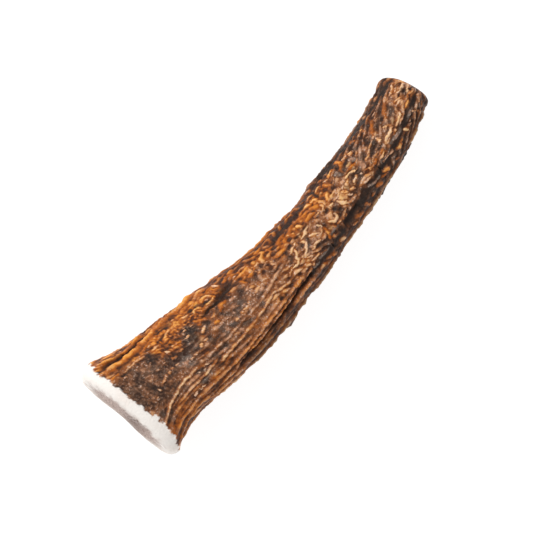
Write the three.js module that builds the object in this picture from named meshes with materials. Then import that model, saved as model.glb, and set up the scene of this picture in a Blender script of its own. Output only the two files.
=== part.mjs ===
// A sawn piece of deer antler, lying on its side: a curved beam that flares to an oval sawn base and
// ends in a small ground tip. It grew as one piece, so it is one solid, moulded from a sphere whose
// rings become the antler's cross-sections. +X runs from the base to the tip, +Y is the inside of the
// bend, and +Z is up. The origin is at the middle of the footprint, on the surface the antler lies on.
import * as THREE from "three";
import { ImprovedNoise } from "three/addons/math/ImprovedNoise.js";

const { degToRad, euclideanModulo, lerp, radToDeg, smoothstep } = THREE.MathUtils;

// Driving dimensions, in millimetres.
const LENGTH = 177; // from the sawn base to the tip, along the chord
const BASE_EDGE = 4; // radius of the ground edge round the sawn base
const TIP_EDGE = 3.3; // radius of the ground edge round the tip
const TIP_DOME = 1.2; // how far the middle of the tip stands out of its rim
const TIP_LEAN = 0.27; // slope of the tip's cut, which is square to the bent beam and not to the chord
const LEAN_START = 118; // where the cross-sections start to lean towards that slope
const UNDERSIDE_GAP = 0.45; // between the bare form and the table, filled by the ridges that it lies on
const SQUARENESS = 2.3; // 2 would make the cross-sections true ellipses

// The bare form without its relief, at stations along the chord: the station, how far the centre line
// lies to the side, half the beam's width and half its height.
const STATIONS = [
  [0, 0.2, 25.5, 15.6],
  [5, 0.2, 25.6, 15.6],
  [8.5, 0.2, 24.3, 15.3],
  [13, -0.2, 22.1, 14.9],
  [21, -1.4, 20.4, 14.5],
  [34, -3.9, 19.0, 14.0],
  [50, -6.3, 18.6, 13.6],
  [66, -8.7, 17.2, 13.1],
  [82, -10.0, 14.8, 12.6],
  [98, -10.3, 13.5, 12.2],
  [112, -9.6, 12.3, 11.7],
  [124, -8.9, 12.4, 11.4],
  [139, -7.8, 11.6, 11.0],
  [156, -5.4, 10.8, 10.6],
  [168, -2.3, 10.3, 10.2],
  [LENGTH, 0, 10.2, 9.9],
];

// Bark is the brown outer layer. Both ends are ground through it to smooth bone.
const BARK_DEPTH = 0.5;
const BARK_STARTS = [4, 7]; // stations over which the bark rises from the ground base
const BARK_ENDS = [LENGTH - 3.4, LENGTH - 0.8]; // stations over which it runs out at the tip

// Grooves and ridges run along the beam, each on a route of stations and angles. An angle is in
// degrees round the beam, from the top towards the outside of the bend.
const GROOVES = [
  {
    depth: 1.7,
    halfWidth: 1.7,
    route: [[42, 57], [57, 53], [75, 46], [94, 43], [118, 42], [126, 33], [140, 28], [160, 28], [175, 15]],
  },
  {
    depth: 1.2,
    halfWidth: 1.5,
    route: [[40, -21], [55, -31], [67, -42], [78, -48], [90, -56], [106, -61], [114, -58], [121, -40]],
  },
  { depth: 0.9, halfWidth: 1.3, route: [[4, -42], [17, -57], [36, -79], [58, -95], [80, -106]] },
  { depth: 0.9, halfWidth: 1.3, route: [[106, -80], [124, -68], [142, -70], [160, -60], [175, -52]] },
  { depth: 1.3, halfWidth: 1.5, route: [[5, 96], [36, 104], [72, 92], [110, 98], [146, 88], [176, 94]] },
  { depth: 1.2, halfWidth: 1.5, route: [[5, -122], [40, -130], [84, -136], [122, -124], [176, -132]] },
  { depth: 1.1, halfWidth: 1.4, route: [[5, 148], [52, 160], [96, 150], [138, 158], [176, 150]] },
];
const RIDGES = [
  {
    height: 1,
    halfWidth: 1.1,
    route: [[4, 31], [12, 24], [22, 16], [33, 11], [46, 11], [68, 5], [83, -3], [95, -13]],
  },
  {
    height: 0.8,
    halfWidth: 1,
    route: [[36, 29], [54, 22], [68, 14], [75, 11], [82, 17], [92, 18], [104, 26]],
  },
  {
    height: 1,
    halfWidth: 1.1,
    route: [[4, 52], [20, 50], [33, 45], [63, 35], [83, 28], [111, 26], [123, 15], [141, 8], [176, 2]],
  },
  {
    height: 0.9,
    halfWidth: 1.3,
    route: [[26, 68], [50, 66], [63, 61], [76, 53], [88, 50], [108, 52], [126, 46], [141, 38], [174, 26]],
  },
  { height: 0.8, halfWidth: 1.2, route: [[4, -35], [12, -39], [23, -47], [40, -68], [58, -82]] },
  { height: 0.8, halfWidth: 1.2, route: [[4, -49], [13, -58], [28, -76], [45, -92], [70, -110]] },
  {
    height: 0.8,
    halfWidth: 1.4,
    route: [[50, -18], [68, -28], [88, -44], [106, -44], [122, -26], [140, -30], [174, -24]],
  },
  { height: 0.8, halfWidth: 1.3, route: [[60, -92], [90, -86], [118, -92], [146, -84], [174, -88]] },
  { height: 0.9, halfWidth: 1.3, route: [[5, 80], [34, 86], [70, 76], [104, 80], [138, 70], [174, 72]] },
  { height: 0.9, halfWidth: 1.3, route: [[5, 118], [44, 124], [90, 116], [130, 124], [174, 116]] },
  { height: 0.9, halfWidth: 1.3, route: [[5, -150], [46, -156], [92, -164], [136, -152], [174, -160]] },
  { height: 0.8, halfWidth: 1.3, route: [[5, -98], [38, -108], [84, -118], [128, -104], [174, -110]] },
  { height: 0.8, halfWidth: 1.3, route: [[5, 172], [50, 184], [96, 176], [140, 182], [174, 174]] },
];
const FADE = 8; // a groove or ridge starts and stops over this length
const KNOTS = { height: 0.42, along: 8.5, around: 3.6 }; // the knotty relief between them, and its grain

// How finely the surface is cut into facets.
const AROUND = 76;
const FACE_RINGS = 2;
const EDGE_RINGS = 4;
const BODY_RINGS = 49;

const noise = new ImprovedNoise();
const form = curveThrough(STATIONS);
const marks = [
  ...GROOVES.map((groove) => ({ ...groove, height: -groove.depth, course: curveThrough(groove.route) })),
  ...RIDGES.map((ridge) => ({ ...ridge, course: curveThrough(ridge.route) })),
];

// A smooth curve through rows whose first number is the station.
function curveThrough(rows) {
  const values = rows.flatMap((row) => row.slice(1));
  return new THREE.CubicInterpolant(rows.map((row) => row[0]), values, rows[0].length - 1);
}

// A coordinate of the cross-section's outline, from the sine or cosine of its angle.
function outline(value) {
  return Math.sign(value) * Math.abs(value) ** (2 / SQUARENESS);
}

// How much of the bark there is at a station: 0 where the ends are ground, 1 on the beam.
function barkAt(station) {
  return smoothstep(station, ...BARK_STARTS) * (1 - smoothstep(station, ...BARK_ENDS));
}

// The height of one groove or ridge at a point, from the distance to its route round the beam.
function markAt(mark, station, angle, radius) {
  const first = mark.route[0][0];
  const last = mark.route.at(-1)[0];
  const fade = smoothstep(station, first, first + FADE) * (1 - smoothstep(station, last - FADE, last));
  const turn = euclideanModulo(angle - mark.course.evaluate(station)[0] + 180, 360) - 180;
  const gap = degToRad(turn) * radius;
  return mark.height * fade * Math.exp(-((gap / mark.halfWidth) ** 2));
}

// The height of the knotty relief, a ridged noise stretched along the beam.
function knotsAt(station, turn, radius) {
  const y = (radius * Math.sin(turn)) / KNOTS.around;
  const z = (radius * Math.cos(turn)) / KNOTS.around;
  return KNOTS.height * (1 - 3 * Math.abs(noise.noise(station / KNOTS.along, y, z)));
}

// The height of the whole surface over the bare form.
function reliefAt(station, turn, radius) {
  const angle = radToDeg(turn);
  const marked = marks.reduce((sum, mark) => sum + markAt(mark, station, angle, radius), 0);
  const bark = barkAt(station);
  return bark * (marked + knotsAt(station, turn, radius)) - BARK_DEPTH * (1 - bark);
}

// The rings from the middle of the sawn base to the middle of the tip: each ring's station, how far it
// lies inside the cross-section's outline, and how much of that outline it spans.
function antlerRings() {
  const rings = [];
  const barkEnd = LENGTH - TIP_EDGE - TIP_DOME;
  const edgeTurn = (i) => (Math.PI / 2) * (i / EDGE_RINGS);
  for (let i = 0; i < FACE_RINGS; i++) {
    rings.push({ station: 0, inset: BASE_EDGE, span: i / FACE_RINGS });
  }
  for (let i = 0; i < EDGE_RINGS; i++) {
    const station = BASE_EDGE * (1 - Math.cos(edgeTurn(i)));
    rings.push({ station, inset: BASE_EDGE * (1 - Math.sin(edgeTurn(i))), span: 1 });
  }
  for (let i = 0; i < BODY_RINGS; i++) {
    rings.push({ station: lerp(BASE_EDGE, barkEnd, i / BODY_RINGS), inset: 0, span: 1 });
  }
  for (let i = 0; i < EDGE_RINGS; i++) {
    const station = barkEnd + TIP_EDGE * Math.sin(edgeTurn(i));
    rings.push({ station, inset: TIP_EDGE * (1 - Math.cos(edgeTurn(i))), span: 1 });
  }
  for (let i = 0; i <= FACE_RINGS; i++) {
    const span = 1 - i / FACE_RINGS;
    rings.push({ station: LENGTH - TIP_DOME * span ** 2, inset: TIP_EDGE, span });
  }
  return rings;
}

// The point of a ring at an angle in radians, with its relief. What would reach below the table is
// rubbed flat, so that the antler rests without rocking.
function pointOn(ring, turn) {
  const [side, halfWidth, halfHeight] = form.evaluate(ring.station);
  const across = outline(Math.sin(turn));
  const above = outline(Math.cos(turn));
  const outward = new THREE.Vector2(across * halfHeight, above * halfWidth).normalize();
  const rise = reliefAt(ring.station, turn, (halfWidth + halfHeight) / 2) - ring.inset;
  const out = ring.span * (across * halfWidth + outward.x * rise);
  const up = ring.span * (above * halfHeight + outward.y * rise);
  const lean = TIP_LEAN * smoothstep(ring.station, LEAN_START, LENGTH);
  return new THREE.Vector3(
    ring.station + lean * out,
    side - out,
    Math.max(0, halfHeight + UNDERSIDE_GAP + up),
  );
}

function makeAntler() {
  const rings = antlerRings();
  const geometry = new THREE.SphereGeometry(1, AROUND, rings.length - 1);
  const position = geometry.getAttribute("position");
  const uv = geometry.getAttribute("uv");
  for (let i = 0; i < position.count; i++) {
    const ring = rings[Math.round((1 - uv.getY(i)) * (rings.length - 1))];
    const point = pointOn(ring, 2 * Math.PI * (0.5 - uv.getX(i)));
    position.setXYZ(i, point.x, point.y, point.z);
  }
  geometry.computeVertexNormals();
  geometry.computeBoundingBox();
  const middle = geometry.boundingBox.getCenter(new THREE.Vector3());
  const material = new THREE.MeshStandardMaterial({ color: 0x6b4a30, roughness: 0.5, metalness: 0 });
  const antler = new THREE.Mesh(geometry, material);
  antler.name = "antler";
  antler.position.set(-middle.x, -middle.y, 0);
  return antler;
}

const part = new THREE.Group();
part.add(makeAntler());

export default part;
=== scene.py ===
"""The look of a sawn piece of deer antler: its ridged and beaded bark, ground bone ends and porous core.

The antler is one mesh, built round the form of the CAD node. Rings of points along the beam are raised
by the bark's relief: ridges and grooves listed one by one, and patterns of beads, worm-like ridges and
streaks that fill in between them. The relief also says where the bark is worn, and the material colours
it by that. Sizes are in millimetres until the mesh is made.
"""

import math
from types import SimpleNamespace

import bpy
import numpy as np
from mathutils import Matrix, Vector


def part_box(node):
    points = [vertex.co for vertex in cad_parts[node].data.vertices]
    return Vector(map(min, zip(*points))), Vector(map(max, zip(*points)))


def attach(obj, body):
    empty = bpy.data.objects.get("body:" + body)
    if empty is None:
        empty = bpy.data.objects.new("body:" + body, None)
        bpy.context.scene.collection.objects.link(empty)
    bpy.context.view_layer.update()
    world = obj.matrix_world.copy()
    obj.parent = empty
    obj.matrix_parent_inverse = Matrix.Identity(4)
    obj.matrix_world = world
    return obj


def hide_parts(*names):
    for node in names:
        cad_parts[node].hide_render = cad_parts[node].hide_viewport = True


MM = 0.001
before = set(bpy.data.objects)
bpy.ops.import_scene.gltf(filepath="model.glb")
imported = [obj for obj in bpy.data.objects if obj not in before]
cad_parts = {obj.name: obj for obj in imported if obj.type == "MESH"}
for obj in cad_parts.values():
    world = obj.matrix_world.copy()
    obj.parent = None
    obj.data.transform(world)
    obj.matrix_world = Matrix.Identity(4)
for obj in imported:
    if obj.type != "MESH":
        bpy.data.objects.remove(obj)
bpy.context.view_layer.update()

# ---- Driving dimensions. A station is the distance from the sawn base, and an angle goes round the beam in
# degrees, from the top towards the outside of the bend (-Y).

LENGTH = 177.0  # from the sawn base to the tip, along the chord
BASE_EDGE = 4.0  # radius of the ground edge round the sawn base
TIP_EDGE = 3.3  # radius of the ground edge round the tip
TIP_DOME = 1.2  # how far the middle of the tip stands out of its rim
TIP_LEAN = 0.2  # slope of the tip's cut, nearly square to the bent beam
CAD_LEAN = 0.27  # slope of the CAD node's cut there
LEAN_START = 118.0  # station where the rings start to lean towards that slope
SQUARENESS = 2.3  # of the cross-section: 2 would make it an ellipse
UNDERSIDE_GAP = 0.45  # between the bare form and the table
RIDGE_STANDS = 0.75  # how far the CAD node's ridges stand out of the bare form
GROUND_OFF = 0.5  # how far the sawn base is ground into the bare form
BARK_STARTS = (4.0, 7.0)  # stations over which the CAD node's bark rises from the ground base

AROUND = 236  # points in a ring
FACE_RINGS, BASE_EDGE_RINGS, BODY_RINGS, TIP_EDGE_RINGS, CAP_RINGS = 22, 12, 352, 12, 10
TOP_CROWDING = 0.3  # the points are closer together on top, where the antler is mostly seen

CELL = 0.4  # grid of the bark's patterns
PATTERN_CELLS = (512, 288)  # along and around
SEAM_BLEND = math.radians(35)  # the patterns blend into themselves over this, under the beam

# ---- Small helpers.


def smooth(low, high, value):
    """0 below low, 1 above high, and an S-curve between them. low may be above high."""
    t = np.clip((value - low) / (high - low), 0, 1)
    return t * t * (3 - 2 * t)


def mix(a, b, weight):
    return a + (b - a) * weight


def bell(value):
    """1 at 0, and falling away on both sides."""
    return np.exp(-(value**2))


def short_way(angle):
    """An angle in degrees, the short way round."""
    return (angle + 180) % 360 - 180


def patch(station, angle, centre, size, rim=0.6):
    """A soft-edged oval: 1 inside, 0 outside. centre and size are each a station and an angle."""
    along = (station - centre[0]) / size[0]
    around = short_way(angle - centre[1]) / size[1]
    return smooth(1 + rim, 1 - rim, np.hypot(along, around))


def band_filter(spacing, stretch, sharpness):
    """The frequencies of ridges that lie `spacing` apart and run `stretch` times longer along."""
    along = np.fft.fftfreq(PATTERN_CELLS[0], CELL)[:, None] * stretch
    around = np.fft.rfftfreq(PATTERN_CELLS[1], CELL)[None, :]
    return np.exp(-(((np.hypot(along, around) * spacing - 1) * sharpness) ** 2))


def filtered(field, weights):
    field = np.fft.irfft2(np.fft.rfft2(field) * weights, s=PATTERN_CELLS)
    return field / field.std()


def ridge_pattern(seed, spacing, stretch, bias=0.0, sharpness=3.5, steps=16):
    """Rounded ridges between valleys, grown from noise. A bias below 0 breaks them up into beads."""
    field = np.random.default_rng(seed).standard_normal(PATTERN_CELLS)
    weights = band_filter(spacing, stretch, sharpness)
    for _ in range(steps):
        field = np.tanh(2 * filtered(field, weights) + bias)
    return filtered(field, weights) + bias


def cloud(seed, size, stretch=1.0):
    """Soft noise with features of about that size."""
    along = np.fft.fftfreq(PATTERN_CELLS[0], CELL)[:, None] * stretch
    around = np.fft.rfftfreq(PATTERN_CELLS[1], CELL)[None, :]
    weights = np.exp(-((np.hypot(along, around) * size) ** 2))
    weights[0, 0] = 0
    return filtered(np.random.default_rng(seed).standard_normal(PATTERN_CELLS), weights)


def look_up(pattern, along, around):
    """The pattern's value at places in millimetres, blended between its cells."""
    rows, columns = PATTERN_CELLS
    u, v = along / CELL, around / CELL
    i, j = np.floor(u).astype(int), np.floor(v).astype(int)
    fu, fv = u - i, v - j
    near = mix(pattern[i % rows, j % columns], pattern[i % rows, (j + 1) % columns], fv)
    far = mix(pattern[(i + 1) % rows, j % columns], pattern[(i + 1) % rows, (j + 1) % columns], fv)
    return mix(near, far, fu)


# ---- The bare form, measured on the CAD node.


def smoothed(values, reach):
    """The values, each averaged with its neighbours. The ends are carried on in a straight line."""
    steps = np.arange(-3 * reach, 3 * reach + 1)
    weights = np.exp(-0.5 * (steps / reach) ** 2)
    before = values[0] + (values[0] - values[1]) * np.arange(3 * reach, 0, -1)
    after = values[-1] + (values[-1] - values[-2]) * np.arange(1, 3 * reach + 1)
    longer = np.concatenate([before, values, after])
    return np.convolve(longer, weights / weights.sum(), "valid")


def measure_form(node):
    """Stations, and at each the side of the centre line, half the width and half the height."""
    points = np.array([vertex.co for vertex in node.data.vertices]) / MM
    points[:, 0] -= points[:, 0].min()
    stations = np.arange(BASE_EDGE, LENGTH - TIP_EDGE - TIP_DOME, 1.0)
    stands = mix(-GROUND_OFF, RIDGE_STANDS, smooth(*BARK_STARTS, stations))
    form = None
    for _ in range(2):
        # The first pass cuts the beam squarely, and the second along the leaning rings.
        where = points[:, 0].copy()
        if form is not None:
            out = np.interp(where, stations, form[0]) - points[:, 1]
            where -= CAD_LEAN * smooth(LEAN_START, stations[-1], where) * out
        rows = []
        for station, stand in zip(stations, stands):
            ring = points[np.abs(where - station) < 2]
            low, high, top = ring[:, 1].min(), ring[:, 1].max(), ring[:, 2].max()
            rows.append(((low + high) / 2, (high - low) / 2 - stand, (top - stand - UNDERSIDE_GAP) / 2))
        form = [smoothed(np.array(column), 2) for column in zip(*rows)]
    return stations, form


cad_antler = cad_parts["antler"]
STATIONS, FORM = measure_form(cad_antler)
BASE_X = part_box("antler")[0].x / MM


def form_at(station):
    """The side of the centre line, half the width and half the height at a station."""
    return [np.interp(station, STATIONS, column) for column in FORM]


# ---- The grid that the antler is made on: rings from the middle of the sawn base to the middle of the tip.


def antler_rings():
    """Each ring's station, how far it lies inside the outline, and how much of the outline it spans."""
    bark_end = LENGTH - TIP_EDGE - TIP_DOME
    rings = [(0.0, BASE_EDGE, i / FACE_RINGS) for i in range(FACE_RINGS)]
    for i in range(BASE_EDGE_RINGS):
        turn = math.pi / 2 * i / BASE_EDGE_RINGS
        rings.append((BASE_EDGE * (1 - math.cos(turn)), BASE_EDGE * (1 - math.sin(turn)), 1.0))
    for i in range(BODY_RINGS):
        rings.append((mix(BASE_EDGE, bark_end, i / BODY_RINGS), 0.0, 1.0))
    for i in range(TIP_EDGE_RINGS):
        turn = math.pi / 2 * i / TIP_EDGE_RINGS
        rings.append((bark_end + TIP_EDGE * math.sin(turn), TIP_EDGE * (1 - math.cos(turn)), 1.0))
    for i in range(CAP_RINGS + 1):
        span = 1 - i / CAP_RINGS
        rings.append((LENGTH - TIP_DOME * span**2, TIP_EDGE, span))
    return [np.array(column)[:, None] for column in zip(*rings)]


def outline(value):
    """A coordinate of the cross-section's outline, from the sine or cosine of its angle."""
    return np.sign(value) * np.abs(value) ** (2 / SQUARENESS)


STATION, INSET, SPAN = antler_rings()
COLUMN = np.linspace(-math.pi, math.pi, AROUND, endpoint=False)[None, :]
TURN = COLUMN - TOP_CROWDING * np.sin(COLUMN)
ANGLE = np.degrees(TURN)
ALONG = STATION + 0 * TURN  # the station of every point
AT_BASE = ALONG < LENGTH / 2  # in the half with the sawn base
SIDE, HALF_WIDTH, HALF_HEIGHT = form_at(STATION)
BARE_OUT = outline(np.sin(TURN)) * HALF_WIDTH
BARE_UP = outline(np.cos(TURN)) * HALF_HEIGHT


def measure_girth():
    """How far round the bare form each point lies from the top, and the whole way round."""
    out, up = (np.concatenate([grid, grid[:, :1]], axis=1) for grid in (BARE_OUT, BARE_UP))
    round_it = np.cumsum(np.hypot(np.diff(out), np.diff(up)), axis=1)
    girth = round_it[:, -1:]
    return np.concatenate([np.zeros_like(girth), round_it[:, :-1]], axis=1) - girth / 2, girth


ARC, GIRTH = measure_girth()
ARC_RATE = np.gradient(ARC, TURN[0], axis=1)  # millimetres per radian
PATTERN_GIRTH = 2 * math.pi * 14  # on a beam of this girth the patterns have their own width
GRAIN_WIDENS = 0.65  # how far the bark's grain widens with the beam: 1 would be as much
GRAIN_WIDTH = mix(1, PATTERN_GIRTH / GIRTH, GRAIN_WIDENS)


def sample(pattern, shear=0.0):
    """A pattern over the whole grid, blended under the beam where it would meet itself."""
    here, girth = ARC * GRAIN_WIDTH, GIRTH * GRAIN_WIDTH
    beyond = here - np.sign(here) * girth
    weight = 0.5 * smooth(math.pi - SEAM_BLEND, math.pi, np.abs(TURN))
    slope = shear * STATION
    return mix(look_up(pattern, ALONG, here + slope), look_up(pattern, ALONG, beyond + slope), weight)


# ---- Soft noise over the grid, and where each kind of bark grows, from 0 to 1.

DRIFT = sample(cloud(11, 9, 1.5))
RIPPLE = sample(cloud(12, 3.2, 1.5))
SPECKLE = sample(cloud(13, 1.5))
BLOTCH = sample(cloud(14, 5, 1.3))
SWAY = 0.18  # how far the marks wander off their lines
SWAY_ALONG, SWAY_AROUND = SWAY * sample(cloud(15, 2.2)), SWAY * sample(cloud(16, 2.2))

BEADED = patch(ALONG, ANGLE, (16, -4), (15, 27), 0.4)  # above the sawn base
GRAINY = patch(ALONG, ANGLE, (42, -36), (20, 26), 0.5)  # towards the inside of the bend
COMBED = patch(ALONG, ANGLE, (20, 40), (26, 22), 0.5)  # between the ridges beside the sawn base
PLAIN = patch(ALONG, ANGLE, (58, 4), (24, 18), 0.5)  # before the middle
NETTED = smooth(68, 84, ALONG + 5 * DRIFT)  # worm-like ridges, from the middle on
DIAGONAL = smooth(118, 132, ALONG + 3 * DRIFT)  # slanting ridges, towards the tip
OUTER = smooth(30, 48, ANGLE + 4 * DRIFT) * (1 - DIAGONAL)  # the outside of the bend
INNER = smooth(-12, -40, ANGLE + 6 * DRIFT)  # its inside
# The parts of the flanks that are knobbly, the lower flank that is darkened as painted shade, and the parts
# dark towards the tip.
KNOBBLY = smooth(90, 110, ALONG) * smooth(55, 75, ANGLE) * smooth(125, 95, ANGLE)
PAINTED_SHADE_FLANK = smooth(42, 52, ALONG) * smooth(48, 56, ANGLE) * smooth(130, 90, ANGLE)
INSIDE_EDGE = smooth(52, 75, ALONG) * smooth(-40, -62, ANGLE)
OUTSIDE_EDGE = smooth(95, 118, ALONG) * smooth(30, 42, ANGLE) * smooth(150, 100, ANGLE)
OUTSIDE_EDGE = OUTSIDE_EDGE * smooth(175, 168, ALONG)


# ---- The bark's marks. A tone is how warm and how pale a ridge is worn.

CREAM, TAN, GOLD, AMBER = (0.5, 0.9), (0.5, 0.55), (1.0, 0.6), (1.0, 0.4)
ORANGE, RUST, PINK = (1.0, 0.2), (0.75, 0.0), (0.15, 0.45)
WHITE, SLATE, DULL = (0.0, 0.85), (-0.5, 0.1), (0.5, 0.2)
NARROWING = 0.8  # of the short ridges, whose rims blend into the bark
FADE = 5  # a long groove or ridge starts and stops over this length

# Long grooves: depth, and a route of stations, angles and half widths.
GROOVES = [
    (1.5, (42, 55, 0.8), (57, 50, 0.8), (75, 43.5, 0.8), (92, 39, 1.0), (104, 40, 1.6), (118, 41, 2.0)),
    (1.5, (112, 42, 1.8), (126, 34, 1.9), (140, 29, 1.6), (160, 27, 1.4), (176, 15, 1.2)),
    (1.0, (46, -24, 0.5), (50, -26, 0.6), (56, -28.5, 0.8), (62, -34, 1.2), (69, -39, 1.0)),
    (1.0, (86, -47, 1.0), (95, -50, 1.3), (106, -54, 1.4), (113, -56, 1.2)),
    (0.9, (4, -47, 1.0), (10, -50.5, 1.0), (17, -53, 0.8), (24, -59, 0.6), (32, -70, 0.6)),
    (0.6, (26, -76, 0.8), (36, -84, 1.0), (46, -90, 1.2), (58, -97, 1.2), (80, -106, 1.2)),
    (0.9, (106, -80, 1.2), (124, -68, 1.2), (142, -70, 1.2), (160, -60, 1.2), (175, -52, 1.2)),
    (1.3, (5, 96, 1.1), (36, 104, 1.2), (72, 94, 1.1), (110, 98, 1.2), (146, 90, 1.0), (176, 94, 1.1)),
    (1.2, (5, -122, 1.4), (40, -130, 1.4), (84, -136, 1.4), (122, -124, 1.4), (176, -132, 1.4)),
    (1.1, (5, 148, 1.3), (52, 160, 1.3), (96, 150, 1.3), (138, 158, 1.3), (176, 150, 1.3)),
]

# Long ridges: tone, height, half width, and a route of stations and angles.
RIDGES = [
    (CREAM, 0.9, 0.75, (1, 34), (7, 31), (12, 26.5), (17, 22), (22, 18), (27, 15), (34, 12), (41, 10.5)),
    (PINK, 0.6, 0.7, (30, 12), (46, 11), (58, 8), (68, 5), (75, 2), (83, -3), (93, -12)),
    (TAN, 0.7, 0.6, (14, 34), (22, 30), (26, 29), (34, 25), (42, 20)),
    (TAN, 0.7, 0.7, (36, 29), (46, 25), (54, 22), (62, 18), (69, 14), (75, 11), (81, 16), (87, 14),
     (93, 18)),
    (DULL, 0.9, 0.8, (5, 51), (18, 51), (23, 48), (33, 45), (43, 43), (51, 41), (63, 34), (75, 31),
     (91, 26)),
    (DULL, 0.9, 0.8, (4, 66), (20, 62), (36, 57), (52, 49), (60, 45), (74, 40), (84, 37)),
    (DULL, 0.9, 1.0, (26, 68), (51, 65), (63, 60), (75, 53), (88, 50), (97, 52)),
    (AMBER, 0.9, 1.2, (4, -38.5), (12, -42.5), (23, -51), (32, -62), (38, -69), (45, -68), (58, -78)),
    (AMBER, 0.9, 0.9, (4, -61), (9, -58), (13, -57), (18, -60), (24, -67), (30, -80), (45, -92),
     (70, -110)),
    (ORANGE, 0.7, 1.2, (60, -92), (76, -88), (90, -86), (116, -91)),
    (PINK, 0.6, 0.8, (108, -90), (118, -92), (146, -84), (174, -88)),
    (TAN, 0.9, 1.1, (5, 80), (34, 86), (70, 76), (104, 80), (138, 70), (174, 72)),
    (TAN, 0.9, 1.1, (5, 118), (44, 124), (90, 116), (130, 124), (174, 116)),
    (ORANGE, 0.9, 1.1, (5, -150), (46, -156), (92, -164), (136, -152), (174, -160)),
    (ORANGE, 0.8, 1.1, (5, -98), (38, -108), (84, -118), (128, -104), (174, -110)),
    (TAN, 0.8, 1.1, (5, 172), (50, 184), (96, 176), (140, 182), (174, 174)),
]

# Patches of the bark's tone: station, angle, half length, half width in degrees, warmth and lift in
# brightness. A later patch covers an earlier one.
TONE_PATCHES = [
    (14, -4, 13, 22, -0.1, 0.14),
    (22, 50, 26, 16, 0.5, 0.12),
    (18, 22, 16, 10, 0.0, 0.18),
    (31, 26, 9, 9, -0.15, 0.52),
    (20, 10, 9, 7, 0.0, 0.05),
    (33, -25, 9, 14, 0.8, -0.03),
    (31, 2, 4.5, 8, -0.3, 0.54),
    (40.5, -14, 4.5, 14, -0.6, -0.2),
    (26, -56, 20, 15, 1.0, 0.5),
    (53, -54, 8, 11, 1.0, 0.58),
    (50, -6, 9, 10, 0.32, -0.04),
    (40, 20, 15, 8, 0.1, 0.05),
    (64, -1, 18, 19, 0.02, 0.45),
    (64, 36, 22, 14, 0.35, 0.42),
    (73, -42, 11, 12, 0.75, 0.16),
    (62, 15, 14, 11, 0.12, 0.54),
    (92, -58, 14, 12, 0.6, -0.1),
    (106, -35, 17, 12, 1.0, 0.22),
    (106, -2, 17, 18, 0.35, 0.46),
    (127, -64, 11, 19, 0.2, -0.3),
    (131, -11, 9, 17, 0.15, 0.45),
    (127, -31, 2.6, 10, 0.0, 0.0),
    (137, -32, 2.6, 10, 0.0, 0.05),
    (150, -66, 20, 28, 0.15, -0.4),
    (162, -56, 6, 11, 0.0, 0.0),
    (154, -8, 12, 20, 0.05, 0.4),
    (169, -16, 6, 24, 0.3, 0.64),
    (169, 27, 6, 12, 0.0, -0.2),
]

# Dark patches: station, angle, half length, half width in degrees, and how dark.
DARK_PATCHES = [
    (40.5, -14, 3.2, 12, 0.88),
    (23.5, -22, 2.0, 7, 0.8),
    (15, 5, 1.3, 4, 0.7),
    (58.5, -29, 5, 4, 0.5),
    (142, -74, 34, 16, 0.48),
    (64.5, -37, 3.2, 7, 0.8),
    (37, -55, 2.6, 6, 0.6),
    (47, -42, 1.5, 4, 0.7),
    (51, -43, 1.5, 4, 0.7),
    (133, -6, 2.4, 10, 0.7),
    (146, -12, 1.8, 12, 0.6),
    (128, 4, 2.4, 12, 0.5),
]

# Knobs and dents that show in the outline: station, angle, half width and height.
KNOBS = [
    (9, 86, 6, -1.3), (30, 88, 4, -0.8), (47, 87, 4, -0.5), (54, 86, 2.2, 0.6), (60, 88, 2.5, 0.5),
    (71.5, 86, 2.2, 1.3), (75, 86, 2.5, 0.5), (87, 86, 5, -0.4), (100, 87, 4, -0.5), (111, 88, 3, -0.5),
    (119, 88, 2.5, 0.4), (135, 86, 3, 0.4), (145, 84, 2.5, -0.5), (151, 84, 2.5, -0.9), (164, 84, 3, -0.4),
    (174.5, 79, 2.6, -0.7), (178, 104, 7, -1.3),
    (30, -88, 5, 0.5), (38, -86, 4.5, 1.8), (50.5, -86, 2.5, -0.6), (57, -86, 4.5, 1), (95, -88, 8, 0.45),
    (119, -88, 4, 0.8), (129, -88, 5, 0.4), (162, -86, 2.5, 0.4), (167.5, -86, 2.5, 0.3), (172, -86, 3, 1.2),
]

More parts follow.
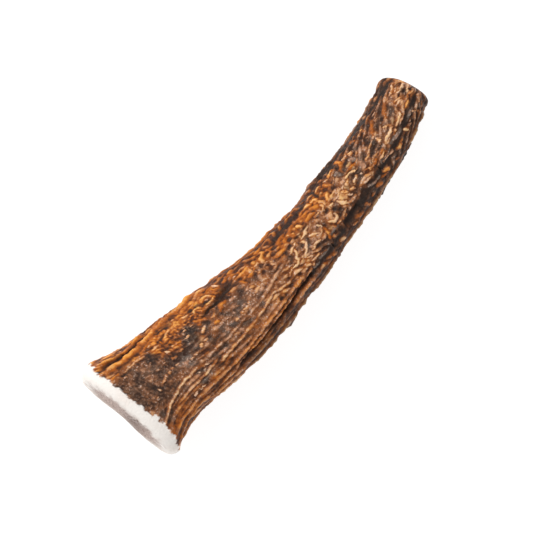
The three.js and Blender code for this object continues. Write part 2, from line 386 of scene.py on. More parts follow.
# Short ridges and beads, as they lie in the camera's view: tone, half width and a line of points,
# each in millimetres along the chord and across it.
SHORT_RIDGES = [
    # beads and short ridges of the base
    (CREAM, 0.8, (13.1, 3.2), (13.5, 3.6)),
    (TAN, 0.6, (15.8, 2.8), (17, 2.4), (18.2, 2), (19.8, 1.8)),
    (TAN, 0.6, (20.8, 1.8), (21.4, 1.8)),
    (TAN, 0.6, (22.6, 2), (23.4, 2)),
    (TAN, 0.6, (24.9, 2), (25.9, 2.4)),
    (TAN, 0.8, (30.9, 5.3), (31.7, 5.3)),
    (TAN, 0.7, (32.9, 5.1), (33.7, 5.1)),
    (TAN, 0.7, (36.6, 4.8), (37.8, 4.6)),
    (TAN, 0.7, (39.4, 4.4), (40.6, 4.4)),
    (CREAM, 0.9, (41.2, 1.4), (42.4, 1), (43.6, 0.6)),
    (CREAM, 0.7, (26.3, -4), (26.9, -3.8)),
    (PINK, 0.6, (37.2, -5.3), (38, -5.1)),
    (PINK, 0.6, (36.4, -4.4), (37.6, -4.2)),
    (TAN, 0.7, (26.1, -0.6), (27.3, -0.2)),
    (TAN, 0.7, (30.1, -0.4), (31.3, -0.2)),
    (CREAM, 0.7, (29.7, -3.8), (30.5, -3.6)),
    (ORANGE, 0.7, (30.5, -3.6), (32.1, -3), (33.3, -2.8)),
    (TAN, 0.6, (35, -2), (36.4, -1.8)),
    (GOLD, 0.7, (29.3, -8.1), (31.3, -8.9), (33.3, -9.5)),
    (TAN, 0.6, (22.6, -8.7), (24.6, -8.9), (26.9, -8.3)),
    (ORANGE, 0.7, (28.1, -5.9), (30.9, -5.1), (33.3, -4.8)),
    (ORANGE, 0.7, (21, -10.7), (22.2, -11.9), (24.2, -12.3), (26.1, -11.5), (26.5, -10.3)),
    (TAN, 0.6, (23, -10.7), (24.6, -11.1)),
    (GOLD, 0.7, (40, -8.5), (41.2, -7.9), (42.8, -7.1)),
    (ORANGE, 0.7, (38.4, -9.9), (40, -9.7), (41.6, -8.7)),
    (TAN, 0.6, (40, -3.6), (40.8, -3.4)),
    (ORANGE, 1.5, (42.8, -1.6), (44.4, -2), (45.9, -1.2)),
    (ORANGE, 0.7, (42.4, -3.6), (43.2, -2.8)),
    (ORANGE, 0.8, (44.4, -8.3), (45.9, -8.3), (47.5, -8.5)),
    (GOLD, 0.7, (44.7, -5.1), (45.5, -6.3), (47.1, -6.3), (47.9, -5.3)),
    (GOLD, 0.9, (49.5, -6.9), (51.9, -6.9), (53.5, -6.1), (54.6, -5)),
    (ORANGE, 0.8, (54.6, -7.7), (56.6, -6.3), (58.6, -5.1)),
    (GOLD, 0.7, (49.1, -4.6), (51.1, -4), (53.1, -4), (55, -4.2)),
    (TAN, 0.6, (45.9, -3.4), (47.9, -3), (50.3, -3.2)),
    (ORANGE, 0.9, (53.9, -7.5), (55.4, -7.7), (57, -7.5)),
    (WHITE, 0.8, (57.4, -7.5), (58.2, -6.5), (59, -5.5)),
    (TAN, 0.9, (47.5, 0.4), (48.7, 0.8), (50.3, 0.2)),
    (ORANGE, 1.2, (52.3, 1.6), (53.5, 0.8), (54.6, 0), (56.2, 0.4)),
    (ORANGE, 1.3, (47.7, 3.2), (48.3, 3.2)),
    (PINK, 0.6, (50.7, 5.3), (52.3, 5.5), (54.3, 6.1)),
    (PINK, 0.6, (57.4, 4), (57.6, 4.8), (58.6, 5.9)),
    (TAN, 0.6, (53.9, 8.7), (54.8, 8.7)),
    (TAN, 0.6, (56.6, 8.3), (58.6, 8.1), (60.6, 8.7), (63, 7.9)),
    (ORANGE, 0.8, (61.4, -5.1), (62.6, -5), (64.2, -5.7)),
    (ORANGE, 1.0, (65.3, -5.7), (66.9, -5.7)),
    (ORANGE, 0.9, (65.7, 0), (66.5, 0.8), (67.3, 2)),
    (PINK, 0.6, (64.9, -2.8), (66.5, -3.2)),
    (ORANGE, 0.7, (68.1, -3.2), (70.1, -3.2)),
    (TAN, 0.8, (66.9, 5), (67.7, 4.8)),
    (PINK, 0.7, (63.4, 5.1), (64.9, 5.3)),
    (TAN, 0.8, (65.7, 7.3), (67.3, 7.5), (68.9, 6.9), (70.1, 6.1)),
    (PINK, 0.7, (18.2, -2.4), (19.4, -1.6)),
    (PINK, 0.6, (22, -2), (23, -2.2)),
    (CREAM, 0.5, (8.1, -10.1), (8.7, -9.9)),
    (ORANGE, 0.7, (23.8, -6.7), (24.6, -6.1)),
    (PINK, 0.5, (18.2, -5.9), (19.4, -6.3)),
    (PINK, 0.5, (7.9, -10.3), (8.7, -9.9)),
    (PINK, 0.5, (9.9, 4.8), (11.1, 5.3)),
    (PINK, 0.5, (11.1, 3.2), (11.9, 3.6)),
    (WHITE, 0.45, (27.7, 11.1), (28.9, 10.7)),
    (WHITE, 0.5, (29.7, 12.3), (31.3, 11.5)),
    (WHITE, 0.45, (31.7, 10.7), (33.3, 11.5)),
    (WHITE, 0.45, (20.6, 15.8), (22.2, 15.4)),
    (WHITE, 0.45, (22.6, 14.7), (23.8, 15)),
    (WHITE, 0.45, (23.8, 15.8), (26.1, 15.8)),
    # streaks of the upper left
    (GOLD, 0.9, (3.2, -21.4), (4.8, -20.6), (6.3, -19.8), (8.3, -19.6), (10.3, -18.8), (12.3, -18.2)),
    (TAN, 0.55, (10.7, -20.2), (14.3, -19.2), (18.2, -18.2)),
    (GOLD, 1.0, (13.9, -17.2), (17.4, -17), (21, -16.6), (24.9, -16.4)),
    (ORANGE, 0.6, (25.3, -16), (29.3, -15.4), (34.1, -15)),
    (GOLD, 1.3, (5.1, -16), (7.1, -15.8), (9.1, -15.8), (11.5, -15), (14.3, -14.5), (17, -13.9)),
    (GOLD, 1.9, (17, -13.9), (19.8, -13.9), (23.8, -14.1), (26.9, -13.7), (30.1, -13.7),
     (33.3, -13.5), (36, -13.5)),
    (ORANGE, 1.5, (36, -13.5), (39.6, -11.9), (42.8, -10.9)),
    (ORANGE, 1.0, (38.8, -11.5), (42.8, -10.7), (45.9, -10.7)),
    (ORANGE, 1.4, (42, -10.1), (44.4, -10.1)),
    (GOLD, 1.5, (49.1, -9.9), (51.9, -9.9), (53.9, -8.9)),
    (ORANGE, 1.4, (44.4, -11.9), (47.5, -11.1)),
    (TAN, 0.7, (9.5, -11.5), (12.7, -11.1), (16.6, -10.7), (19, -9.9)),
    (ORANGE, 0.8, (2.8, -14.3), (4.8, -13.5), (7.1, -13.1)),
    # ridges of the middle
    (PINK, 0.7, (37.6, 9.5), (40.8, 9.9), (44, 9.9), (46.7, 10.1), (47.9, 9.3)),
    (PINK, 0.7, (48.7, 11.1), (50.7, 11.1), (53.1, 11.1), (55, 10.7)),
    (TAN, 0.8, (55.4, 11.5), (58.6, 11.7), (62.2, 11.5), (64.9, 11.1), (67.7, 10.5), (69.7, 10.3),
     (72.9, 9.7)),
    (TAN, 0.7, (75.2, 9.1), (79.2, 8.7), (82.4, 8.3), (84.3, 7.5)),
    (CREAM, 1.0, (83.6, 7.3), (85.1, 6.9)),
    (CREAM, 0.7, (86.7, 7.9), (89.5, 7.1), (91.5, 6.7)),
    (CREAM, 0.8, (89.9, 8.3), (88.7, 9.5), (87.5, 10.7), (87.9, 11.5), (86.7, 12.3), (85.1, 12.7),
     (83.2, 12.3)),
    (TAN, 0.7, (80.8, 13.1), (82.4, 12.5), (83.6, 11.5)),
    (CREAM, 0.9, (100.2, 5.7), (98.6, 6.1), (97.4, 7.1), (95.4, 7.1), (93.5, 7.9)),
    (CREAM, 0.9, (93.5, 7.9), (94.6, 9.3), (93.5, 10.5), (93.1, 11.5), (91.5, 12.3), (90.3, 13.3)),
    (CREAM, 0.8, (97.4, 9.5), (99.4, 9.5), (101, 10.9)),
    (CREAM, 0.8, (95, 13.7), (97, 12.5), (99, 13.3)),
    (TAN, 0.7, (90.7, 13.9), (92.3, 15), (90.7, 15.8)),
    (TAN, 1.0, (87.9, 15.4), (89.1, 16.6)),
    (TAN, 0.9, (91.1, 16.4), (94.2, 16.6)),
    (ORANGE, 1.5, (87.1, 1.2), (89.1, 0.8), (91.1, 1)),
    (ORANGE, 1.2, (89.5, 2.6), (91.1, 2.4)),
    (GOLD, 1.5, (92.5, 2.6), (93.3, 3.6)),
    (ORANGE, 1.2, (93.5, 2), (95, 1.4), (96.2, 1.2)),
    (ORANGE, 0.9, (93.1, 4.4), (93.3, 5.1)),
    (GOLD, 0.9, (97.4, 2.8), (98.2, 4.4)),
    (PINK, 0.5, (74.1, 0.4), (76, 0.6)),
    (PINK, 0.5, (68.9, -3.2), (71.7, -3)),
    (TAN, 0.6, (72.9, 1.8), (73.7, 3.2)),
    (TAN, 0.6, (79.2, 5.1), (81.2, 6.3)),
    (TAN, 0.6, (72.9, 0), (74.4, 0.6), (76, 0.2)),
    (ORANGE, 1.1, (82.8, 4), (84.7, 4.6), (87.1, 4.8)),
    (ORANGE, 1.0, (78.4, -2.8), (80.8, -2.8)),
    (ORANGE, 0.7, (82.4, -0.8), (84.3, 0), (85.9, -1.2)),
    (PINK, 0.6, (76, 3.2), (78, 2.8), (80.4, 3.2)),
    (ORANGE, 0.7, (69.7, 1.2), (71.7, 1.6), (73.7, 0.8)),
    # the beaded net past the middle
    (CREAM, 0.7, (103, 8.5), (103.8, 10.3)),
    (ORANGE, 1.0, (103.8, 11.7), (103.8, 12.7)),
    (GOLD, 1.3, (103.6, 13.1), (103.4, 14.3), (102.6, 15.4)),
    (CREAM, 0.8, (106.9, 11.1), (107.9, 12.3), (109.7, 12.9), (110.9, 12.1), (111.1, 11.1)),
    (TAN, 0.8, (108.9, 14.9), (110.5, 14.7)),
    (TAN, 0.8, (111.7, 14.3), (113.7, 13.5), (115.2, 12.9)),
    (CREAM, 0.9, (115, 8.5), (116, 10.3), (117.2, 11.5), (118.4, 12.5)),
    (TAN, 1.0, (118.4, 12.5), (120, 12.9), (121.6, 12.7)),
    (TAN, 0.7, (109.5, 3.6), (110.1, 5.1), (109.1, 6.3), (107.5, 7.3)),
    (GOLD, 1.2, (113.3, 5), (114, 3.8), (115.2, 3.4)),
    (TAN, 0.7, (114.4, 7.1), (116.8, 7.5), (118, 6.3), (119.2, 5.1)),
    (GOLD, 1.3, (103, -0.2), (104.9, 0.2), (106.9, 1)),
    (GOLD, 0.9, (107.3, -0.8), (109.3, -1.2), (110.5, -1)),
    (GOLD, 1.0, (107.7, 0.6), (109.3, 1.2), (110.5, 1.6)),
    (ORANGE, 1.5, (100.2, 1.6), (102.2, 2.2), (104.1, 2)),
    (GOLD, 0.8, (112.1, -0.4), (113.7, -0.8), (115.2, -0.6)),
    (GOLD, 1.3, (116.4, 0.2), (117.2, 1.2), (118, 2)),
    (TAN, 0.7, (112.7, 1.6), (113.7, 1.6)),
    (GOLD, 0.9, (120, -0.2), (121.2, -0.8), (123.2, -1.2)),
    (TAN, 0.6, (117.2, -0.6), (119.2, 0.2)),
    (TAN, 0.7, (118.4, 3), (120.4, 2), (122.4, 1)),
    (ORANGE, 1.3, (101, 4.4), (103.4, 4), (105.7, 4.4)),
    (TAN, 0.6, (104.5, 5.7), (106.5, 5.9)),
    (CREAM, 0.7, (112.1, 7.7), (113.3, 7.3)),
    (WHITE, 0.5, (120.4, 6.7), (121, 6.1)),
    (TAN, 0.9, (119.4, 7.9), (120.4, 8.7)),
    (WHITE, 0.5, (120, 9.9), (121.2, 11.1)),
    (TAN, 1.1, (122.4, 7.1), (123.9, 6.3)),
    (TAN, 1.0, (122.4, 9.5), (123.4, 10.1)),
    (WHITE, 0.4, (128.7, 7.9), (129.9, 8.7)),
    (WHITE, 0.4, (128.3, 9.5), (129.5, 9.9)),
    (WHITE, 0.5, (106.3, 14.5), (106.5, 15.2)),
    (ORANGE, 1.1, (106.1, 2.4), (107.7, 3.2), (108.9, 3.6)),
    # the diagonal ridges before the tip
    (ORANGE, 1.1, (125.5, -2.6), (126.7, -1.6), (127.3, -0.4), (126.1, 0.8), (125.1, 2.4)),
    (PINK, 0.7, (128.7, -0.4), (130.7, -0.8)),
    (TAN, 1.0, (132.3, -0.2), (133.5, 0)),
    (RUST, 1.1, (136.2, -2.2), (137.8, -2)),
    (RUST, 0.7, (135.8, -3.2), (137.4, -3.2)),
    (GOLD, 0.8, (142.2, -2.6), (143.4, -2.2)),
    (TAN, 0.8, (146.9, -5.1), (148.1, -5)),
    (PINK, 0.7, (152.9, -5.9), (154.4, -5.7)),
    (PINK, 0.9, (156, -6.9), (157.4, -6.5)),
    (PINK, 0.9, (133.7, 4.4), (135, 3.2), (136.2, 2.4), (137.4, 1.2)),
    (TAN, 0.8, (134.6, 7.1), (135.8, 6.5), (137, 6.1), (138.2, 5), (140.6, 4), (142.2, 3.4), (143.7, 2.6)),
    (TAN, 0.9, (143.7, 2.6), (144.9, 1.2)),
    (RUST, 1.3, (144.9, 1.2), (146.5, 0), (148.1, -1.6)),
    (CREAM, 0.8, (143.7, 6.3), (144.7, 5.3), (144.5, 4.4)),
    (PINK, 0.5, (141.4, 0.6), (143, 1.2)),
    (RUST, 0.7, (127.1, 4), (129.1, 3.8), (131.1, 4)),
    (CREAM, 0.7, (123.6, 5), (125.9, 5), (127.5, 5.1), (128.7, 5.9), (130.3, 5.9)),
    (CREAM, 0.7, (124.7, 9.3), (126.3, 8.3), (127.7, 7.3)),
    (TAN, 0.8, (126.3, 11.1), (127.9, 10.7), (130.3, 10.7), (131.9, 11.3)),
    (TAN, 0.7, (132.3, 8.9), (133.8, 9.9), (135, 10.5)),
    (TAN, 0.8, (135, 10.5), (136.6, 9.1), (137.8, 8.3), (139.4, 7.9)),
    (RUST, 0.8, (136.2, 10.3), (137.8, 9.7)),
    (PINK, 0.5, (140.2, 7.1), (142.2, 7.1)),
    (RUST, 0.8, (140.6, 9.1), (142.2, 9.1)),
    (CREAM, 0.6, (149.7, 3.4), (150.9, 4)),
    (TAN, 0.8, (151.7, 4), (151.7, 5.3), (151.3, 5.9)),
    (CREAM, 0.9, (145.5, 7.9), (146.9, 6.9), (148.5, 6.7), (150.1, 6.7), (151.3, 5.7)),
    (CREAM, 0.7, (152.9, 0.8), (152.1, 1.8)),
    (RUST, 1.4, (153.1, 0.8), (154.4, -0.6), (155.6, -1.6), (156.4, -2.4)),
    (CREAM, 0.9, (153.6, 6.9), (154.8, 6.1), (156.4, 5.5), (157.8, 4.8), (157.6, 3)),
    (TAN, 0.8, (158, 3.2), (158.8, 1.6), (160, 0)),
    (CREAM, 1.0, (160, 1.6), (161.2, 1.2), (162.4, 1.4)),
    (TAN, 0.8, (160, 0), (161.6, 0.4), (163.2, 1)),
    (GOLD, 0.7, (161.6, 4.8), (162.8, 4.4), (163.9, 3.6)),
    (CREAM, 1.0, (165.1, 2.4), (166.7, 1.2), (167.9, 0), (169.1, -0.6)),
    (TAN, 0.7, (165.9, 2.4), (167.5, 2.4), (169.3, 2.6)),
    (CREAM, 0.9, (163.2, -2), (164.3, -1.2), (165.5, -0.8), (167.1, -1.8), (168.7, -3)),
    (TAN, 0.9, (162, -3.2), (163.5, -4.2), (165.1, -5.3)),
    (TAN, 0.6, (160.8, -3), (162, -3.2)),
    (TAN, 0.6, (162.8, -2.4), (164.3, -3.2), (165.9, -3.4)),
    (TAN, 0.7, (167.1, -5.5), (167.9, -4), (168.3, -2.8)),
    (PINK, 0.6, (158, -2), (159.2, -1.4)),
    (TAN, 0.8, (155.6, -6.7), (157.2, -6.5)),
    (TAN, 0.7, (160.4, -8.1), (162.8, -8.5)),
    (PINK, 0.6, (149.7, -0.8), (150.9, -0.8)),
    (PINK, 0.5, (150.1, -2.8), (151.7, -3.2)),
    # knobs on the outside of the bend
    (GOLD, 1.6, (146.7, 12.7), (147.7, 13.3), (148.9, 12.7)),
    (GOLD, 0.6, (149.7, 11.9), (150.9, 12.1)),
    (CREAM, 0.9, (154.4, 10.1), (155.6, 11.1)),
    (PINK, 0.7, (156.8, 10.7), (157.6, 10.7)),
    (TAN, 0.7, (162.6, 8.3), (163.3, 9.5)),
    (PINK, 0.9, (167.5, 7.1), (169.1, 5.5)),
    (AMBER, 1.2, (137, 15), (138.2, 15.8)),
    (RUST, 1.4, (130.3, 16.4), (131.9, 17.2)),
    (RUST, 0.9, (133.8, 15.4), (135.8, 16.2)),
    (RUST, 0.7, (143, 15.4), (144.5, 16)),
    (DULL, 0.8, (126.3, 17.4), (127.5, 17.6)),
    (DULL, 1.0, (121.8, 18), (122.8, 19)),
    (RUST, 1.4, (115.8, 18.4), (117.2, 19), (118.6, 19.2)),
    (DULL, 0.8, (112.4, 19.4), (113.6, 19.6)),
    (DULL, 1.1, (108.1, 18.4), (109.5, 18.8)),
    (TAN, 1.3, (104.5, 19.6), (105.9, 20.2)),
    (DULL, 1.1, (98.2, 21.2), (99.4, 21.6)),
    (DULL, 1.1, (95.6, 20.4), (96.6, 20.8)),
    (PINK, 0.6, (152.1, 15.2), (153.6, 14.9)),
    (PINK, 0.5, (139.8, 11.9), (141.4, 11.7)),
    (PINK, 0.5, (141.4, 11.3), (143.4, 11.9)),
    (PINK, 0.6, (143.7, 11.9), (145.3, 12.1)),
]

# Lumps that stand in the grooves or beside them, in the same way.
GROOVE_LUMPS = [
    (SLATE, 1.3, (146.9, 9.7), (149.7, 9.5), (152.9, 9.5)),
    (SLATE, 0.8, (138.6, 11.7), (141.4, 11.5), (144.5, 11.3)),
    (PINK, 0.6, (139.8, 12.3), (142.6, 12.3), (144.9, 12.3)),
    (SLATE, 1.2, (158, 8.7), (160.4, 7.7), (162.8, 6.9)),
    (SLATE, 0.8, (103.8, 15.2), (106.1, 14.7), (108.1, 15.2)),
    (SLATE, 0.8, (127.5, 14.3), (130.7, 14.9), (133.8, 14.9)),
    (SLATE, 0.7, (93.5, 17.8), (96.6, 18), (99, 17.8)),
    (SLATE, 1.1, (131.1, 1.6), (132.3, 2.4)),
    (SLATE, 1.1, (122.4, 1.6), (123.9, 1.2), (123.9, 2.8)),
    (SLATE, 0.8, (165.1, 8.7), (167.5, 7.5)),
    (SLATE, 0.8, (89.5, 18.6), (91.9, 18.8)),
    (PINK, 0.9, (166.3, 7.3), (168.7, 5.7)),
    (CREAM, 0.8, (154, 10.5), (155.2, 11.3)),
    (TAN, 0.6, (162, 7.7), (163.2, 9.1)),
]

# Dark pits between them, in the same way: how dark, half width and a line of points.
PITS = [
    # under the edge and between the streaks of the upper left
    (0.9, 0.8, (2.4, -19.8), (4, -18.6), (5.9, -18), (8.7, -17.8), (11.9, -17.4), (13.9, -16.8)),
    (0.6, 0.45, (4.8, -22), (7.1, -21.4), (9.9, -20.2), (11.9, -19.2), (13.5, -18.4)),
    (0.5, 0.5, (16.6, -16), (20.6, -15.4), (24.6, -15.4), (27.7, -15.2), (31.7, -14.9)),
    (0.45, 1.0, (9.5, -13.9), (12.7, -13.1), (15.8, -12.7), (18.2, -12.1)),
    (0.6, 0.6, (7.9, -11.3), (9.9, -10.9), (11.5, -10.7)),
    (0.95, 0.8, (28.9, -12.1), (30.5, -11.7), (32.1, -11.1), (33.7, -10.5)),
    (0.7, 0.8, (26.9, -9.5), (28.9, -9.7), (30.5, -9.7)),
    (0.7, 0.8, (28.1, -7.1), (28.9, -6.7)),
    (0.8, 0.8, (27.7, -4.6), (29.3, -4.8)),
    (0.8, 0.9, (32.5, -4.6), (34.8, -3.2)),
    (0.9, 0.8, (43.6, -7.9), (45.1, -7.7)),
    (0.8, 0.7, (46.7, -7.3), (47.9, -7.3)),
    (0.9, 0.7, (48.7, -5.5), (50.7, -5.1), (52.7, -5)),
    (0.6, 0.6, (50.7, -8.1), (52.7, -7.9)),
    (0.5, 0.6, (35.6, -10.7), (38, -9.9)),
    # in the middle
    (0.8, 0.6, (70.5, 17.2), (71.3, 16.4), (72.5, 16.8)),
    (0.5, 0.8, (47.5, -1.6), (50.3, -1.4)),
    (0.5, 0.7, (55.4, 5.5), (58.2, 6.7)),
    (0.4, 1.0, (69.3, 2.4), (71.3, 3.6)),
    # in the beaded net
    (0.9, 1.0, (111.3, -1.6), (111.5, 0), (112.1, 1.6)),
    (0.7, 0.8, (92.7, 5.3), (95, 5.9), (97.8, 5.3), (99.4, 4.8)),
    (0.7, 0.8, (108.9, 7.3), (110.5, 7.5)),
    (0.8, 1.9, (112.7, 9.9), (113.1, 11.5)),
    (0.5, 1.4, (104.5, 8.7), (105.3, 11.1), (105.7, 13.5)),
    (0.85, 1.1, (123.2, -2.8), (124.7, -1.6), (124.5, 0.4)),
    (0.8, 1.5, (127.5, 1.8), (129.1, 1.4)),
    (0.6, 0.9, (116, 3.6), (118, 3.2), (119.6, 3)),
    (0.5, 1.8, (122.8, 1.2), (123.9, 2)),
    (0.6, 0.7, (96.6, 14.3), (97.8, 14.3)),
    # in the diagonal ridges and along the inner edge
    (0.7, 1.2, (139.4, -4.4), (141.8, -4)),
    (0.7, 1.2, (148.9, -4.4), (150.5, -5.1)),
    (0.7, 1.2, (154.8, -5.5), (157.6, -5.1), (160, -5.9)),
    (0.8, 1.1, (139.8, -1.2), (141, 0.4)),
    (0.6, 1.5, (147.3, 2), (149.7, 1.2), (151.3, 0)),
    (0.6, 1.3, (156.8, -0.8), (157.6, 1.2)),
    (0.5, 1.2, (152.9, 4.4), (154.8, 4)),
    (0.6, 0.9, (138.6, 5.9), (140.6, 5.5), (142.6, 4.8)),
    (0.8, 0.7, (163.2, -0.4), (165.9, -0.4)),
    (0.7, 0.6, (165.1, 1.6), (166.7, 0.4)),
    (0.8, 0.5, (167.9, 1.2), (168.1, 1.8)),
    (0.7, 0.8, (164.7, -3.6), (166.7, -3.6)),
]

VIEW_TILT = math.radians(9.5)  # how far the camera leans from straight above, to show the sawn base
VIEW_ORIGIN = (-80.95, 0.53)  # of the short ridges' millimetres, in the frame's


def under_view(along, across):
    """The station and the angle of the place that a point of the camera's view falls on."""
    y = VIEW_ORIGIN[1] - across
    station = along
    for _ in range(8):
        side, half_width, half_height = form_at(station)
        out = float(np.clip((side - y) / half_width, -0.999, 0.999))
        turn = math.asin(math.copysign(abs(out) ** (SQUARENESS / 2), out))
        z = half_height + UNDERSIDE_GAP + half_height * math.cos(turn) ** (2 / SQUARENESS)
        x = (along + VIEW_ORIGIN[0] - z * math.sin(VIEW_TILT)) / math.cos(VIEW_TILT)
        lean = TIP_LEAN * smooth(LEAN_START, LENGTH, station)
        station = x - BASE_X - lean * (side - y)
    return float(station), math.degrees(turn)


def curve_through(points, steps=4):
    """Points along a smooth curve through the given ones."""
    rows = np.array(points, dtype=float)
    if len(rows) < 3:
        return rows
    rows = np.vstack([2 * rows[0] - rows[1], rows, 2 * rows[-1] - rows[-2]])
    curve = [rows[1]]
    for a, b, c, d in zip(rows, rows[1:], rows[2:], rows[3:]):
        for t in np.arange(1, steps + 1) / steps:
            curve.append(b + t * ((c - a) + t * (2 * a - 5 * b + 4 * c - d + t * (3 * (b - c) + d - a))) / 2)
    return np.array(curve)


def distance_to(line, station, angle, rate):
    """How far places on the surface are from a line of stations and angles, and from its nearer end."""
    scale = np.radians(1) * rate

    def gap_from(row, t=0.0, dx=0.0, dy=0.0):
        return np.hypot(station - row[0] - t * dx, short_way(angle - row[1]) * scale - t * dy)

    nearest = np.full(station.shape, np.inf)
    for start, end in zip(line, line[1:]):
        dx, dy = end[0] - start[0], (end[1] - start[1]) * scale
        px, py = station - start[0], short_way(angle - start[1]) * scale
        t = np.clip((px * dx + py * dy) / (dx * dx + dy * dy + 1e-9), 0, 1)
        nearest = np.minimum(nearest, gap_from(start, t, dx, dy))
    return nearest, np.minimum(gap_from(line[0]), gap_from(line[-1]))


# ---- The bark's relief and tones.

VALLEY = (2.4, 1.2)  # half widths from a short ridge at which its own valley ends and is full
LONG_VALLEY = (2.6, 1.2)  # the same for a long ridge
SHORT_RISE = (0.35, 0.4)  # height of a short ridge, and what each millimetre of half width adds
HIGHEST_AT = 1.1  # the half width past which it adds no more
PIT_DEPTH = 0.35
MARK_REACH = 3.5  # half widths within which a mark changes the bark
GROUND_LEVEL = 0.3  # the relief is lowered by this, so that its middle follows the bare form


def fill_in():
    """The ridges between the marks: 0 in their valleys and 1 on their crests."""
    pearls = ridge_pattern(1, spacing=1.5, stretch=1.1, bias=-0.2, sharpness=1.4, steps=5)
    streaks = ridge_pattern(2, spacing=2.2, stretch=4.0, sharpness=2.0, steps=8)
    worms = ridge_pattern(3, spacing=2.5, stretch=1.35, bias=0.1, sharpness=2.2, steps=9)
    slants = ridge_pattern(4, spacing=2.9, stretch=2.0, bias=0.1, sharpness=2.2, steps=9)
    net = smooth(-0.6, 1.2, sample(streaks, shear=0.03))
    net = mix(net, smooth(-0.5, 1.3, sample(pearls)), np.maximum(BEADED, 0.8 * GRAINY))
    net = mix(net, smooth(-0.6, 1.1, sample(worms)), NETTED * (1 - 0.6 * OUTER))
    return mix(net, smooth(-0.6, 1.1, sample(slants, shear=0.5)), DIAGONAL)


def worn_tones():
    """How warm the bark is away from the marks, and the lift in its brightness, which is lowered on the
    lower flank as painted shade.
    """
    warm = 0.3 - 0.15 * DIAGONAL + 0.5 * INNER * (1 - 0.7 * DIAGONAL) + 0.2 * OUTER + 0.05 * NETTED
    warm = mix(warm, 0.05, BEADED)
    lift = 0.0 * ALONG
    for station, angle, length, width, hue, level in TONE_PATCHES:
        along = ALONG + 0.1 * length * BLOTCH
        around = ANGLE + 0.2 * width * RIPPLE
        weight = patch(along, around, (station, angle), (length, width))
        warm = mix(warm, hue, 0.85 * weight)
        lift = mix(lift, level, weight)
    warm = warm + 0.12 * (RIPPLE + BLOTCH) * (1 - 0.6 * BEADED)
    warm = warm * (1 - 0.6 * OUTSIDE_EDGE)
    # The lift is lowered on the lower flank as painted shade.
    return warm, lift - 0.5 * INSIDE_EDGE - 0.3 * OUTSIDE_EDGE - 0.35 * PAINTED_SHADE_FLANK


def darkness():
    """How dark the bark is away from the marks, with painted shade on the lower flank."""
    dark = 0.1 * np.clip(DRIFT + BLOTCH, 0, 1) + 0.2 * INSIDE_EDGE + 0.15 * OUTSIDE_EDGE
    # The lower flank is darkened as painted shade.
    dark = np.maximum(dark, 0.45 * PAINTED_SHADE_FLANK)
    for station, angle, length, width, depth in DARK_PATCHES:
        weight = patch(ALONG + 0.5 * RIPPLE, ANGLE + 3 * RIPPLE, (station, angle), (length, width), 0.5)
        dark = np.maximum(dark, depth * weight)
    return dark


def plain_bark():
    """The bark without the marks: height, nearness to a crest, warmth, paleness of its crests, darkness."""
    net = fill_in()
    warm, lift = worn_tones()
    stands = 0.38 + 0.1 * NETTED + 0.15 * DIAGONAL - 0.13 * BEADED + 0.2 * KNOBBLY
    contrast = 0.8 - 0.37 * BEADED - 0.25 * PLAIN - 0.1 * NETTED - 0.35 * COMBED
    return SimpleNamespace(
        height=net * stands * (1 + 0.25 * RIPPLE),
        crest=contrast * net * (1 - lift) + lift + 0.12 * BLOTCH + 0.08 * BEADED,
        warm=warm,
        pale=0.3 + 0.07 * (BLOTCH + RIPPLE) + 0.16 * NETTED * (1 - INNER) - 0.1 * BEADED,
        dark=darkness(),
    )


def near_line(points, half_width):
    """The grid near a line of the view, and in half widths how far it is from the line and its ends."""
    line = curve_through([under_view(*point) for point in points])
    reach = MARK_REACH * half_width
    stations = STATION[:, 0]
    near = (stations > line[:, 0].min() - reach) & (stations < line[:, 0].max() + reach)
    area = np.ix_(np.flatnonzero(near), np.arange(AROUND))
    angle = ANGLE + np.degrees(SWAY_AROUND[area] / ARC_RATE[area])
    gap, end_gap = distance_to(line, ALONG[area] + SWAY_ALONG[area], angle, ARC_RATE[area])
    gap = np.abs(gap * (1.2 + 0.1 * RIPPLE[area]) + 0.2 * SPECKLE[area])
    return area, gap / half_width, end_gap / half_width


def lay_short_ridges(bark, ridges):
    """Short ridges, each in a valley of its own. A long one is lower towards its ends."""
    for (hue, paleness), half_width, *points in ridges:
        area, gap, end_gap = near_line(points, NARROWING * half_width)
        bump = bell(gap)
        if len(points) > 2:
            bump = bump * mix(0.6, 1, smooth(0, 2.5, end_gap))
        room = smooth(*VALLEY, gap)
        rise = (SHORT_RISE[0] + SHORT_RISE[1] * min(half_width, HIGHEST_AT)) * bump
        bark.height[area] = np.maximum(bark.height[area] * (1 - 0.9 * room), rise)
        worn = smooth(0, 0.8, bump) * (0.45 + 0.8 * paleness + 0.08 * BLOTCH[area])
        bark.crest[area] = np.maximum(bark.crest[area] * (1 - 0.45 * room), worn)
        flank, top = smooth(0.1, 0.7, bump), smooth(0.3, 0.95, bump)
        bark.warm[area] = mix(bark.warm[area], hue + 0.08 * RIPPLE[area], flank)
        pale = mix(bark.pale[area], 0.35, flank)
        bark.pale[area] = mix(pale, paleness * (1.15 + 0.22 * SPECKLE[area]), top)
        bark.dark[area] = bark.dark[area] * (1 - flank)


def sink_pits(bark):
    for depth, half_width, *points in PITS:
        area, gap, _ = near_line(points, half_width)
        dip = bell(gap) * depth
        bark.height[area] -= PIT_DEPTH * dip
        bark.crest[area] *= 1 - 0.7 * dip
        bark.dark[area] = np.maximum(bark.dark[area], dip)


def beside(route):
    """How far the grid is from a long mark's route, how much of the mark there is, and its half width."""
    line = curve_through(route)
    stations = line[:, 0]
    fade = smooth(stations[0], stations[0] + FADE, ALONG)
    fade = fade * smooth(stations[-1], stations[-1] - FADE, ALONG)
    turn = short_way(ANGLE - np.interp(ALONG, stations, line[:, 1]))
    gap = np.radians(turn) * ARC_RATE + 0.12 * RIPPLE + 0.7 * SWAY_AROUND
    return np.abs(gap), fade, np.interp(ALONG, stations, line[:, -1])


